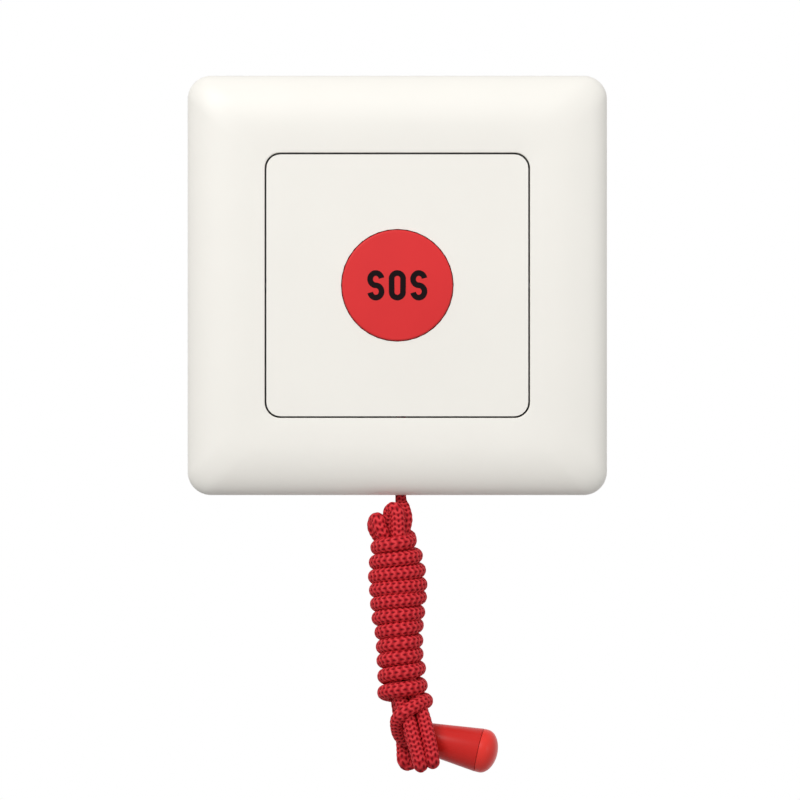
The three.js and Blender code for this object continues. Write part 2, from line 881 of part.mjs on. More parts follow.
function switchBody(name, pinX, z) {
  const low = pinX - leafPinInset;
  const high = low + switchLength;
  const half = switchWidth / 2;
  const back = boardFront - clearance;
  const case_ = block([low, switchFront, z - half], [high, back, z + half]);
  const cheeks = bothSides.map((side) => {
    const [z0, z1] = [side * (half - switchCheek), side * half].sort((a, b) => a - b);
    return block(
      [pinX - switchCheekHalf, leafPinY - leafBarrel - clearance, z + z0],
      [pinX + switchCheekHalf, switchFront + weld, z + z1],
    );
  });
  const plungerHole = rodY(plungerRadius + clearance, switchFront - 1,
    switchFront + plungerLength + 1, pinX + plungerArm, z, 12);
  const middle = (switchFront + back) / 2;
  const boltHoles = [low + 2.6, high - 2.6].map((x) =>
    rodZ(switchHoleRadius, z - half - 1, z + half + 1, x, middle + 1.4, 12),
  );
  const body = cut(join(case_, ...cheeks), plungerHole, ...boltHoles);
  return piece(name, geometryOf(body), blackPlastic);
}

function switchLeaf(name, pinX, z, angle) {
  const half = leafWidth / 2;
  const strip = block(
    [0, -leafThickness / 2, -half],
    [leafArm + leafOverhang, leafThickness / 2, half],
  );
  const body = join(strip, rodZ(leafBarrel, -half, half, 0, 0, 12));
  const leaf = piece(name, geometryOf(body), steel);
  leaf.position.set(pinX, leafPinY, z);
  leaf.rotation.z = -angle;
  return leaf;
}

function switchPlunger(name, pinX, z, angle) {
  const leafBack = leafPinY - plungerArm * Math.tan(angle) + leafThickness / 2 / Math.cos(angle);
  const tip = leafBack + plungerGap;
  const profile = [
    [0, tip],
    [plungerRadius - plungerNose, tip],
    [plungerRadius, tip + plungerNose],
    [plungerRadius, tip + plungerLength],
    [0, tip + plungerLength],
  ];
  const plunger = piece(name, turned(profile, 12), redButton);
  plunger.position.set(pinX + plungerArm, 0, z);
  return plunger;
}

function leverSwitch(word, contactX, z, travel) {
  const pinX = contactX - leafArm;
  const angle = Math.asin(travel / leafArm);
  return [
    switchBody(`${word}_switch_body`, pinX, z),
    switchLeaf(`${word}_switch_leaf`, pinX, z, angle),
    switchPlunger(`${word}_switch_plunger`, pinX, z, angle),
  ];
}

// Pull mechanism: the cord's knot draws the crank's ring down, and its other arm presses a switch.

function bellCrank() {
  const armHalf = crankArmWidth / 2;
  const thick = crankArmThickness / 2;
  const pressHalf = crankPressWidth / 2;
  const gusset = new THREE.Shape([
    new THREE.Vector2(-crankHubRadius - 1.6, 0),
    new THREE.Vector2(0, -crankHubRadius - 1.6),
    new THREE.Vector2(0, 0),
  ]);
  const body = join(
    rodX(crankHubRadius, -armHalf, armHalf, 0, 0, 20),
    rodX(crankSleeveRadius, -crankHubLength / 2, crankHubLength / 2, 0, 0, 20),
    block([-armHalf, -crankArm, -thick], [armHalf, 0, thick]),
    rodZ(crankRingRadius, -thick, thick, 0, -crankArm, 24),
    block(
      [-pressHalf, -crankPressThickness / 2, -crankPress],
      [pressHalf, crankPressThickness / 2, 0],
    ),
    rodX(crankPadRadius, -pressHalf, pressHalf, 0, -crankPress, 16),
    sideSlab(gusset, -pressHalf / 2, pressHalf / 2),
  );
  const bored = cut(
    body,
    rodX(crankPinRadius + clearance, -crankHubLength, crankHubLength, 0, 0, 16),
    rodZ(crankHoleRadius, -crankHubLength, crankHubLength, 0, -crankArm, 24),
  );
  const crank = piece("bell_crank", geometryOf(bored), blackPlastic);
  crank.position.set(cordX, pivotY, pivotZ);
  crank.rotation.x = -swing;
  return crank;
}

function crankPin() {
  const reach = cheekOuter + clearance;
  const head = crankPinRadius + crankPinHead;
  const profile = [
    [0, -reach - crankPinHead],
    [head, -reach - crankPinHead],
    [head, -reach],
    [crankPinRadius, -reach],
    [crankPinRadius, reach + crankPinHead / 2],
    [0, reach + crankPinHead / 2],
  ];
  const pin = piece("crank_pin", turned(profile, 16), steel);
  pin.rotation.z = -Math.PI / 2;
  pin.position.set(cordX, pivotY, pivotZ);
  return pin;
}

// A torsion spring beside the hub: one leg lifts the ring's underside, one bears on the yoke.
function crankSpring() {
  const liftAngle = 1.5 * Math.PI - THREE.MathUtils.degToRad(24);
  const restAngle = Math.PI - torsionTurns * 2 * Math.PI;
  const start = crankArmWidth / 2 + clearance + torsionWire;
  const around = (angle, x) => new THREE.Vector3(
    x,
    torsionRadius * Math.cos(angle),
    torsionRadius * Math.sin(angle),
  );
  const along = (angle, x, reach) =>
    new THREE.Vector3(0, reach * Math.sin(angle), -reach * Math.cos(angle)).add(around(angle, x));
  const coil = liftAngle - restAngle;
  const coilLength = coil * torsionRadius;
  const total = coilLength + 2 * torsionLeg;
  const rise = (torsionPitch * coil) / (2 * Math.PI);
  const path = new PointPath((t) => {
    const s = t * total;
    if (s < torsionLeg) return along(liftAngle, start, torsionLeg - s);
    const wound = Math.min((s - torsionLeg) / coilLength, 1);
    const angle = liftAngle - wound * coil;
    const x = start + wound * rise;
    const rest = Math.max(0, s - torsionLeg - coilLength);
    return along(angle, x, -rest);
  });
  const spring = piece("crank_spring", wire(path, torsionWire, 44), steel);
  spring.position.set(cordX, pivotY, pivotZ);
  return spring;
}

function cordBush() {
  const low = -plateHalf + bushInset;
  const seat = -rimInner + clearance;
  const high = seat + bushFlangeHeight;
  const profile = [
    [bushBore + bushRound, low],
    [bushRadius, low],
    [bushRadius, seat],
    [bushFlange, seat],
    [bushFlange, high],
    [bushBore + bushRound, high],
    [bushBore, high - bushRound],
    [bushBore, low + bushRound],
    [bushBore + bushRound, low],
  ];
  const bush = piece("cord_bush", turned(profile, 20), greyNylon);
  bush.rotation.x = Math.PI / 2;
  bush.position.set(cordX, cordY, 0);
  return bush;
}

// Terminal block at the rear: each way has a cage that a screw draws up onto the wire.

function terminalX(i) {
  return (i - (terminalCount - 1) / 2) * terminalPitch;
}

function terminalBlock() {
  const top = terminalLow + terminalHeight;
  const body = solid(
    block([-terminalHalf, terminalFront, terminalLow], [terminalHalf, terminalBack, top]),
  );
  const wireY = (cageFront + cageBack) / 2 - terminalCageWall / 2;
  const wells = Array.from({ length: terminalCount }, (_, i) => {
    const x = terminalX(i);
    const halfX = terminalCageWidth / 2 + clearance;
    const halfZ = terminalCageHeight / 2 + clearance;
    return [
      block(
        [x - halfX, cageFront - clearance, cageZ - halfZ],
        [x + halfX, cageBack + clearance, cageZ + halfZ],
      ),
      rodZ(terminalWireRadius, terminalLow - 1, cageZ, x, wireY, 14),
      rodY(terminalScrewHead + clearance, cageBack, terminalBack + 1, x, cageZ, 16),
    ];
  }).flat();
  return piece("terminal_block", geometryOf(cut(body, ...wells)), terminalGreen);
}

function terminalCages() {
  return Array.from({ length: terminalCount }, (_, i) => {
    const half = [terminalCageWidth / 2, terminalCageHeight / 2];
    const body = solid(block([-half[0], cageFront, -half[1]], [half[0], cageBack, half[1]]));
    const inside = half[0] - terminalCageWall;
    const mouth = block(
      [-inside, cageFront + terminalCageWall, -half[1] - 1],
      [inside, cageBack - 2 * terminalCageWall, half[1] + 1],
    );
    const screwHole = rodY(terminalScrewShank + clearance, cageBack - 3 * terminalCageWall,
      cageBack + 1, 0, 0, 12);
    const cage = piece(`terminal_cage_${i + 1}`, geometryOf(cut(body, mouth, screwHole)), brass);
    cage.position.set(terminalX(i), 0, cageZ);
    return cage;
  });
}

function terminalScrews() {
  const sizes = {
    shank: terminalScrewShank,
    head: terminalScrewHead,
    headHeight: terminalScrewHeadHeight,
    length: terminalScrewLength,
  };
  return Array.from({ length: terminalCount }, (_, i) => {
    const made = screw(`terminal_screw_${i + 1}`, sizes, steel, 12);
    made.rotation.z = Math.PI;
    made.position.set(terminalX(i), cageBack + clearance, cageZ);
    return made;
  });
}

// Cord, hank, knots and knob

function cordTube(name, points, steps) {
  const path = new THREE.CatmullRomCurve3(points);
  const tube = wire(path, cordRadius, steps, 8);
  return piece(name, tube, redCord);
}

function pullCord() {
  const lowest = -plateHalf + hankOutline[0][1] + hankGap;
  const middle = (cordTopZ + lowest) / 2;
  const points = [cordTopZ, middle, lowest].map((z) => new THREE.Vector3(cordX, cordY, z));
  return cordTube("pull_cord", points, 6);
}

function knot(name, radius) {
  return piece(name, new THREE.SphereGeometry(radius, 14, 8), redCord);
}

// A smooth closed outline in X and Z with rounded edges, between two depths.
function softSlab(outline, yFront, yBack, divisions) {
  const corners3 = outline.map(([x, z]) => new THREE.Vector3(x, z, 0));
  const ring = new THREE.CatmullRomCurve3(corners3, true).getSpacedPoints(divisions);
  const shape = new THREE.Shape(ring.slice(0, -1).map(({ x, y }) => new THREE.Vector2(x, y)));
  const geometry = new THREE.ExtrudeGeometry(shape, {
    depth: yBack - yFront - 2 * hankRound,
    bevelThickness: hankRound,
    bevelSize: hankRound,
    bevelOffset: -hankRound,
    bevelSegments: 3,
  });
  return geometry.rotateX(Math.PI / 2).translate(cordExit.x, yBack - hankRound, cordExit.z);
}

function cordHank() {
  const wound = softSlab(hankOutline, hankFront, hankBack, 36);
  const loops = softSlab(loopsOutline, hankLoopsFront, hankLoopsBack, 20);
  return piece("cord_hank", geometryOf(join(wound, loops)), redCord);
}

function fromExit([x, y, z]) {
  return new THREE.Vector3(x, y, z).add(cordExit);
}

const dip = THREE.MathUtils.degToRad(knobDip);
const lean = THREE.MathUtils.degToRad(knobLean);
const knobAxis = new THREE.Vector3(
  Math.cos(dip) * Math.cos(lean),
  -Math.sin(lean),
  -Math.sin(dip) * Math.cos(lean),
);

function alongKnob(reach) {
  return fromExit(knobEnd).addScaledVector(knobAxis, reach);
}

function cordTail() {
  const stop = knobKnotPlace - knobKnotRadius - clearance;
  const points = [
    fromExit(tailStart),
    ...tailBend.map(fromExit),
    alongKnob(0),
    alongKnob(stop),
  ];
  return cordTube("cord_tail", points, 10);
}

// The knob's own axis is Y, from its narrow end to its cap.
function pullKnob() {
  const narrow = knobNarrow / 2;
  const wide = knobWide / 2;
  const slope = (wide - narrow) / knobLength;
  const end = knobLength - clearance / 2;
  const hole = cordRadius + clearance;
  const profile = [
    [hole, 0],
    [narrow - 0.3, 0],
    [narrow, 0.3],
    [narrow + slope * end, end],
    [narrow + slope * end - knobWall, end],
    [narrow + slope * knobWall - knobWall, knobWall],
    [hole, knobWall],
    [hole, 0],
  ];
  return piece("pull_knob", turned(profile, 28), redKnob);
}

function knobCap() {
  const wide = knobWide / 2;
  const start = knobLength + clearance / 2;
  const plug = wide - knobWall - clearance;
  const dome = [1, 2, 3, 4].map((i) => {
    const angle = (i / 5) * (Math.PI / 2);
    return [wide * Math.cos(angle), start + capBand + capDome * Math.sin(angle)];
  });
  const profile = [
    [0, start],
    [plug - capPlugWall, start],
    [plug - capPlugWall, start - capPlugLength],
    [plug - 0.3, start - capPlugLength],
    [plug, start],
    [wide, start],
    [wide, start + capBand],
    ...dome,
    [0, start + capBand + capDome],
  ];
  return piece("knob_cap", turned(profile, 28), redKnob);
}

function knobGroup() {
  const group = new THREE.Group();
  const stop = knot("knob_knot", knobKnotRadius);
  stop.position.y = knobKnotPlace;
  group.add(pullKnob(), knobCap(), stop);
  group.position.copy(fromExit(knobEnd));
  group.quaternion.setFromUnitVectors(new THREE.Vector3(0, 1, 0), knobAxis);
  return group;
}

function topKnot() {
  const made = knot("cord_top_knot", topKnotRadius);
  made.position.set(cordX, cordY, topKnotZ);
  return made;
}

// The whole button

const group = new THREE.Group();
group.add(
  frontFrame(),
  centrePanel(),
  yoke(),
  rearHousing(),
  circuitBoard(),
  ...fixingScrews(),
  ...housingScrews(),
  pushButton(),
  buttonSpring(),
  ...leverSwitch("button", 0, 0, buttonTravel),
  bellCrank(),
  crankPin(),
  crankSpring(),
  ...leverSwitch("cord", cordX, cordSwitchZ, crankTravel),
  cordBush(),
  terminalBlock(),
  ...terminalCages(),
  ...terminalScrews(),
  pullCord(),
  topKnot(),
  cordHank(),
  cordTail(),
  knobGroup(),
);

export default group;
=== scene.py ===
"""Emergency call plate with a red push button and a hanked red pull cord: finish, cord and light.

Lengths are written in millimetres and turned into metres where a mesh is made.
X runs right, Y into the wall and Z up, with the origin at the plate's centre on the wall.
"""

import math

import bmesh
import bpy
import numpy as np
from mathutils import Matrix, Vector


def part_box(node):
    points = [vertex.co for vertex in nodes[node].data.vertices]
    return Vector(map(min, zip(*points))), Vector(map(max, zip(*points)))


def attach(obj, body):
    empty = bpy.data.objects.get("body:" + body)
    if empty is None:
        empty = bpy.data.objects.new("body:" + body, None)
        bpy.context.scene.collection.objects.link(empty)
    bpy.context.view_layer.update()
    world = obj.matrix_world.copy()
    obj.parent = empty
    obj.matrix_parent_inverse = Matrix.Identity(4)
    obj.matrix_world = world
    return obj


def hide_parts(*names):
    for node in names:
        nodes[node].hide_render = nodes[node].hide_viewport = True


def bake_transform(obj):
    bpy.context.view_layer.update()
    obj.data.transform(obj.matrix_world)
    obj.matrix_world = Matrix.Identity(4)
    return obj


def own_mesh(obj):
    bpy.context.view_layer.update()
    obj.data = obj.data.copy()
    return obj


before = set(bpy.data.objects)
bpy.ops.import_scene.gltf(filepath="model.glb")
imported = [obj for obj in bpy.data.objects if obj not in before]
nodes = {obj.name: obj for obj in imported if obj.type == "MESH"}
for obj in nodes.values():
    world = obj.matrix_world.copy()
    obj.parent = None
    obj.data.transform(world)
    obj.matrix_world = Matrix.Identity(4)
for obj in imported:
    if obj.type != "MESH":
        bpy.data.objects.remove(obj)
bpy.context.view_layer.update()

MM = 0.001


# Camera

photo_width = 163.9  # how much of the object's plane the photograph shows across
photo_centre = (0.55, -23.5)  # what lies in the middle of the photograph, in X and Z
camera_distance = 5000
camera_lens = 1000


def make_camera():
    data = bpy.data.cameras.new("camera")
    data.lens = camera_lens
    data.sensor_width = camera_lens * photo_width / camera_distance
    camera = bpy.data.objects.new("camera", data)
    x, z = photo_centre
    camera.location = Vector((x, -camera_distance - plate_depth, z)) * MM
    camera.rotation_euler = (math.pi / 2, 0, 0)
    bpy.context.scene.collection.objects.link(camera)
    bpy.context.scene.camera = camera


# Sizes of the plate, as the solids have them

plate_half = 43
plate_depth = 12.5


# Mesh helpers

def link(name, mesh):
    made = bpy.data.objects.new(name, mesh)
    bpy.context.scene.collection.objects.link(made)
    return made


def mesh_piece(name, points, faces, smooth=True):
    """A mesh object from points in millimetres, with its faces turned out."""
    mesh = bpy.data.meshes.new(name)
    mesh.from_pydata((np.asarray(points) * MM).tolist(), [], faces)
    form = bmesh.new()
    form.from_mesh(mesh)
    bmesh.ops.recalc_face_normals(form, faces=form.faces)
    form.to_mesh(mesh)
    form.free()
    if smooth:
        mesh.shade_smooth()
    return link(name, mesh)


def ring_faces(rings, sides):
    """Quads between rings of points that follow each other."""
    faces = []
    for i in range(rings - 1):
        here = i * sides
        for j in range(sides):
            k = (j + 1) % sides
            faces.append((here + j, here + k, here + sides + k, here + sides + j))
    return faces


def prism(near, far):
    """Points and faces of a closed prism between two like outlines."""
    count = len(near)
    ends = [tuple(reversed(range(count))), tuple(range(count, 2 * count))]
    sides = [(i, (i + 1) % count, count + (i + 1) % count, count + i) for i in range(count)]
    return list(near) + list(far), ends + sides


def combine(piece, other, operation):
    """Joins a mesh to a piece or cuts it away, and drops the other mesh."""
    modifier = piece.modifiers.new("combine", "BOOLEAN")
    modifier.operation = operation
    modifier.solver = "EXACT"
    modifier.object = other
    made = bpy.data.meshes.new_from_object(piece.evaluated_get(bpy.context.evaluated_depsgraph_get()))
    piece.modifiers.clear()
    piece.data = made
    bpy.data.objects.remove(other)


# Cord

cord_diameter = 2.8
cord_radius = cord_diameter / 2
cord_x = 0.7
cord_y = -4.2
cord_sides = 30
stitch_pitch = 1.02
stitch_columns = 10
stitch_depth = 0.26
groove_share = 0.16  # how deep the grooves between strands are beside the pits
pit_reach = 0.5
pit_length = 1.5  # over 1 draws the pits out along the cord
free_fullness = 1.05
wrap_fullness = 1.12
hung_fullness = 0.82
shown_step = 0.17
hidden_step = 0.8

# The straight run from the knot behind the plate to the lower edge
neck = [(cord_x, cord_y, z) for z in (-17.8, -21, -25, -30, -35, -40, -43)]

# The main strand bulges to the right and runs down into the hank
main_strand = [
    (0.85, -4.4, -44.6), (1.35, -5.3, -46.2), (1.7, -6.3, -47.8), (1.45, -6.9, -49.4),
    (1.1, -7.0, -51.2), (1.8, -7.3, -53.4), (2.2, -8.3, -55.6),
]
first_down = [(1.7, -9.2, -59), (1.6, -9.2, -70), (2.3, -9.2, -80)]
right_loop = [
    (3.2, -9.2, -83.6), (4.5, -9.6, -86.2), (5.5, -10.9, -89), (6.2, -11.8, -92),
    (6.9, -12.0, -95.1), (7.1, -12.0, -96.4), (7.2, -11.6, -97.35), (7.25, -10.65, -97.75),
    (7.15, -9.7, -97.35), (7.0, -9.3, -96.4), (6.6, -9.2, -94.6), (5.4, -8.9, -90.5), (3.4, -7.6, -86),
]
second_up = [(2.3, -6.8, -80), (1.6, -6.8, -70), (1.1, -6.8, -59), (0.3, -8.0, -55.8)]
middle_top = [
    (0.15, -9.3, -53), (0.2, -9.6, -50.8), (0.15, -9.5, -48.6), (0.05, -9.25, -47.2),
    (-0.2, -8.93, -46.21), (-0.78, -8.13, -45.8), (-1.36, -7.33, -46.21), (-1.6, -7.0, -47.2),
    (-1.75, -6.9, -48.6), (-1.8, -7.1, -50.5),
]
third_down = [(-1.8, -8.4, -54), (-1.4, -9.2, -60), (-1.2, -9.2, -70), (-0.5, -9.2, -80)]
middle_loop = [
    (0.1, -9.2, -83.2), (1.1, -9.6, -86), (2.3, -11.0, -89), (3.3, -11.9, -92.5),
    (4.2, -12.1, -95.7), (4.55, -12.1, -97.05), (4.7, -11.69, -98.04), (4.8, -10.7, -98.45),
    (4.65, -9.71, -98.04), (4.4, -9.3, -97.05), (3.8, -9.2, -95), (2.3, -8.9, -90.5), (0.6, -7.6, -86),
]
fourth_up = [(-0.4, -6.8, -80), (-1.2, -6.8, -70), (-1.4, -6.8, -60), (-1.8, -7.0, -54.6)]
left_top = [
    (-2.4, -8.3, -52.2), (-3.1, -9.0, -50.6), (-3.65, -9.05, -49.35), (-3.81, -8.67, -48.36),
    (-4.2, -7.75, -47.95), (-4.59, -6.83, -48.36), (-4.75, -6.45, -49.35), (-4.3, -5.6, -50.6),
    (-3.4, -4.9, -52),
]
fifth_down = [(-1.8, -4.6, -55.5), (-1.4, -4.5, -62), (-1.2, -4.5, -72), (-0.5, -4.4, -80)]
left_loop = [
    (0.2, -3.4, -86), (0.9, -2.7, -91), (1.25, -2.8, -95.3), (1.3, -3.0, -97.09),
    (1.56, -2.81, -97.87), (2.2, -2.35, -98.2), (2.84, -1.89, -97.87), (3.1, -1.7, -97.09),
    (3.15, -1.9, -95), (3.1, -2.2, -92), (2.8, -3.2, -87),
]
sixth_up = [(2.2, -4.4, -80), (1.7, -4.5, -70), (1.4, -4.5, -60), (1.1, -4.2, -55)]
to_wraps = [(1.25, -3.6, -53.6), (1.6, -3.1, -52.5), (2.05, -3.5, -51.65), (2.4, -4.9, -51.6)]

# Each turn round the hank: its middle in X, its half width and the height of its right side
wrap_turns = [
    (-0.7, 3.2, -52.3), (-0.2, 3.9, -55.4), (-0.1, 4.45, -58.4), (0.1, 4.55, -61.3),
    (0.2, 4.35, -63.9), (0.1, 4.1, -67), (0.2, 3.7, -69.7), (0.5, 3.3, -72.8),
    (0.45, 3.4, -75.6), (0.9, 3.45, -78.5), (1.05, 3.65, -82), (1.6, 4.2, -85.2),
]
wrap_middle_y = -6.8
wrap_half_depth = 4.6
wrap_steps = 12
wrap_tilt = 0.05  # the front of a turn is flatter than a plain helix

# The last turn crosses the front downwards and tucks in behind the loops
last_turn = [
    (5.0, -10.2, -85.5), (3.0, -12.0, -86.5), (1.2, -12.1, -87.6), (0.05, -10.6, -88.9),
    (0, -8.6, -90.6), (0.5, -6.8, -92.2), (1.5, -5.5, -93.1), (3.3, -4.5, -93.1),
]
knob_end = np.array((5.47, -4.03, -92.75))
knob_dip = math.radians(12.8)
knob_lean = math.radians(4)
knob_axis = np.array((
    math.cos(knob_dip) * math.cos(knob_lean),
    -math.sin(knob_lean),
    -math.sin(knob_dip) * math.cos(knob_lean),
))
cord_in_knob = 3


def wraps():
    """The turns round the hank, from the top down."""
    turns = np.array(wrap_turns)
    last = len(wrap_turns) - 1
    points = []
    for i in range(last * wrap_steps + 1):
        t = i / wrap_steps
        middle, half, z = (np.interp(t, range(last + 1), turns[:, c]) for c in range(3))
        angle = 2 * math.pi * t
        points.append((
            middle + half * math.cos(angle),
            wrap_middle_y - wrap_half_depth * math.sin(angle),
            z + wrap_tilt * (1 - math.cos(angle)),
        ))
    return points


def cord_stretches():
    """The route as stretches of points, each with the step of its rings and how full it is drawn."""
    into_knob = [knob_end + knob_axis * along for along in (0, 1.5, cord_in_knob)]
    shown = (shown_step, free_fullness)
    hidden = (hidden_step, free_fullness)
    wound = (shown_step, wrap_fullness)
    return [
        (neck, (hidden_step, hung_fullness)),
        (main_strand, shown), (first_down, hidden), (right_loop, shown),
        (second_up, hidden), (middle_top, shown), (third_down, hidden), (middle_loop, shown),
        (fourth_up, hidden), (left_top, shown), (fifth_down, hidden), (left_loop, shown),
        (sixth_up, hidden), (to_wraps, shown), (wraps(), wound), (last_turn, shown),
        (into_knob, hidden),
    ]


def smooth_line(points, per_span=24):
    """A centripetal curve through all the points, and the span that each sample lies in."""
    p = np.asarray(points, float)
    p = np.vstack([2 * p[0] - p[1], p, 2 * p[-1] - p[-2]])
    samples, spans = [], []
    for i in range(1, len(p) - 2):
        a, b, c, d = p[i - 1:i + 3]
        t0 = 0.0
        t1 = t0 + math.sqrt(np.linalg.norm(b - a))
        t2 = t1 + math.sqrt(np.linalg.norm(c - b))
        t3 = t2 + math.sqrt(np.linalg.norm(d - c))
        t = np.linspace(t1, t2, per_span, endpoint=False)[:, None]
        ab = (t1 - t) / (t1 - t0) * a + (t - t0) / (t1 - t0) * b
        bc = (t2 - t) / (t2 - t1) * b + (t - t1) / (t2 - t1) * c
        cd = (t3 - t) / (t3 - t2) * c + (t - t2) / (t3 - t2) * d
        abc = (t2 - t) / (t2 - t0) * ab + (t - t0) / (t2 - t0) * bc
        bcd = (t3 - t) / (t3 - t1) * bc + (t - t1) / (t3 - t1) * cd
        samples.append((t2 - t) / (t2 - t1) * abc + (t - t1) / (t2 - t1) * bcd)
        spans.extend([i - 1] * per_span)
    samples.append(p[-2][None])
    spans.append(len(points) - 2)
    return np.vstack(samples), np.array(spans)


def cord_line():
    """Ring centres along the cord, how far along each lies, and how full the cord is there."""
    stretches = cord_stretches()
    points = [point for stretch, _ in stretches for point in stretch]
    steps, fullness = np.array([drawn for stretch, drawn in stretches for _ in stretch]).T
    line, spans = smooth_line(points)
    along = np.concatenate([[0], np.cumsum(np.linalg.norm(np.diff(line, axis=0), axis=1))])
    places, here = [0.0], 0
    while places[-1] < along[-1]:
        while along[here] < places[-1]:
            here += 1
        places.append(places[-1] + steps[spans[here]])
    places[-1] = along[-1]
    centres = np.column_stack([np.interp(places, along, line[:, c]) for c in range(3)])
    mid_spans = [along[spans == i].mean() for i in range(len(points) - 1)]
    return centres, np.array(places), np.interp(places, mid_spans, fullness[:-1])


def carried_frames(line):
    """Two directions across the line at each point, carried along it without twist."""
    tangents = np.gradient(line, axis=0)
    tangents /= np.linalg.norm(tangents, axis=1)[:, None]
    across = np.cross(tangents[0], (0.0, 1.0, 0.0))
    across /= np.linalg.norm(across)
    sides, ups = [], []
    for tangent in tangents:
        across = across - tangent * np.dot(across, tangent)
        across /= np.linalg.norm(across)
        sides.append(across)
        ups.append(np.cross(tangent, across))
    return np.array(sides), np.array(ups)


def stitch_height(around, along):
    """The braid's relief from 0 in a pit to 1 on a strand; around and along count stitches."""
    lean = 1 - np.abs(2 * ((around / 2) % 1) - 1)
    strand = np.abs(np.sin(math.pi * (along + lean / 2))) ** pit_length
    aside = np.abs((around + 0.5) % 1 - 0.5)
    near = np.clip(1 - aside / pit_reach, 0, 1) ** 2
    return 1 - (1 - strand) * (groove_share + (1 - groove_share) * near)


def make_cord():
    centres, along, fullness = cord_line()
    sides, ups = carried_frames(centres)
    rings = len(centres)
    angles = np.arange(cord_sides) / cord_sides * 2 * math.pi
    around = np.arange(cord_sides) / cord_sides * stitch_columns
    relief = stitch_height(around[None, :], along[:, None] / stitch_pitch)
    radius = cord_radius * fullness[:, None] - stitch_depth * (1 - relief)
    out = (
        sides[:, None, :] * np.cos(angles)[None, :, None]
        + ups[:, None, :] * np.sin(angles)[None, :, None]
    )
    points = (centres[:, None, :] + out * radius[:, :, None]).reshape(-1, 3)
    points = np.vstack([points, centres[0], centres[-1]])
    faces = ring_faces(rings, cord_sides)
    first, last = rings * cord_sides, rings * cord_sides + 1
    end = (rings - 1) * cord_sides
    for j in range(cord_sides):
        k = (j + 1) % cord_sides
        faces.append((first, k, j))
        faces.append((last, end + j, end + k))
    piece = mesh_piece("pull_cord_braid", points, faces)
    add_cord_places(piece, along, rings)
    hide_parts("pull_cord", "cord_hank", "cord_tail")
    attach(piece, "cord")
    dress(piece, braid_material())


def add_cord_places(piece, along, rings):
    """Writes how far round and along the cord each corner lies, for the braid's colour."""
    layer = piece.data.uv_layers.new(name="braid")
    for face in piece.data.polygons:
        for loop, vertex in zip(face.loop_indices, face.vertices):
            ring, side = divmod(min(vertex, rings * cord_sides - 1), cord_sides)
            layer.data[loop].uv = (side / cord_sides, along[ring] / stitch_pitch)
        sides = [layer.data[loop].uv[0] for loop in face.loop_indices]
        if max(sides) - min(sides) > 0.5:
            for loop in face.loop_indices:
                if layer.data[loop].uv[0] < 0.5:
                    layer.data[loop].uv[0] += 1


# Turned and lofted pieces

def turned(name, profile, sides, place, axis, sharp=30):
    """A closed profile of [radius, height] points, turned about an axis from a place."""
    axis = Vector(axis).normalized()
    side = axis.orthogonal().normalized()
    up = axis.cross(side)
    profile = np.asarray(profile, float)
    points, rings = [], []
    for radius, height in profile:
        centre = Vector(place) + axis * height
        if radius < 1e-6:
            rings.append([len(points)])
            points.append(tuple(centre))
            continue
        rings.append(list(range(len(points), len(points) + sides)))
        for j in range(sides):
            angle = 2 * math.pi * j / sides
            out = side * math.cos(angle) + up * math.sin(angle)
            points.append(tuple(centre + out * radius))
    faces = []
    for here, there in zip(rings, rings[1:]):
        for j in range(sides):
            k = (j + 1) % sides
            near = (here[j % len(here)], here[k % len(here)])
            far = (there[k % len(there)], there[j % len(there)])
            faces.append(tuple(dict.fromkeys(near + far)))
    made = mesh_piece(name, points, faces)
    made.data.set_sharp_from_angle(angle=math.radians(sharp))
    return made


def quarter(radius_x, radius_y, steps):
    """Points of a quarter ellipse, from its side to its top."""
    return [
        (radius_x * math.cos(i / steps * math.pi / 2), radius_y * math.sin(i / steps * math.pi / 2))
        for i in range(steps + 1)
    ]


# Pull knob

knob_narrow = 3.165
knob_wide = 4.5
knob_length = 11.66
knob_wall = 1.2
knob_fit = 0.3
knob_seam = 0.08
knob_lip = 0.07
knob_hole = 1.7
knob_hole_bevel = 0.2
knob_edge = 0.35
cap_band = 0.8
cap_dome = 2.95
cap_plug = 2.2
cap_plug_wall = 1
cap_plug_bevel = 0.3
knob_sides = 96
knob_edge_steps = 6
knob_lip_steps = 4
cap_dome_steps = 24


def knob_profile():
    slope = (knob_wide - knob_narrow) / knob_length
    end = knob_length - knob_seam / 2
    rim = knob_narrow + slope * end
    edge_round = quarter(knob_edge, knob_edge, knob_edge_steps)
    lip_round = quarter(knob_lip, knob_lip, knob_lip_steps)
    edge = [(knob_narrow - knob_edge + x, knob_edge - y) for x, y in edge_round]
    lip = [(rim - knob_lip + x, end - knob_lip + y) for x, y in lip_round]
    return [
        (knob_hole, knob_wall), (knob_hole, knob_hole_bevel), (knob_hole + knob_hole_bevel, 0),
        *edge[::-1],
        *lip,
        (rim - knob_wall, end),
        (knob_narrow + slope * knob_wall - knob_wall, knob_wall),
        (knob_hole, knob_wall),
    ]


def cap_profile():
    start = knob_length + knob_seam / 2
    plug = knob_wide - knob_wall - knob_fit
    lip_round = quarter(knob_lip, knob_lip, knob_lip_steps)
    lip = [(knob_wide - knob_lip + x, start + knob_lip - y) for x, y in lip_round]
    dome = [(x, start + cap_band + y) for x, y in quarter(knob_wide, cap_dome, cap_dome_steps)]
    return [
        (0, start), (plug - cap_plug_wall, start), (plug - cap_plug_wall, start - cap_plug),
        (plug - cap_plug_bevel, start - cap_plug), (plug, start),
        *lip[::-1],
        *dome[:-1],
        (0, start + cap_band + cap_dome),
    ]


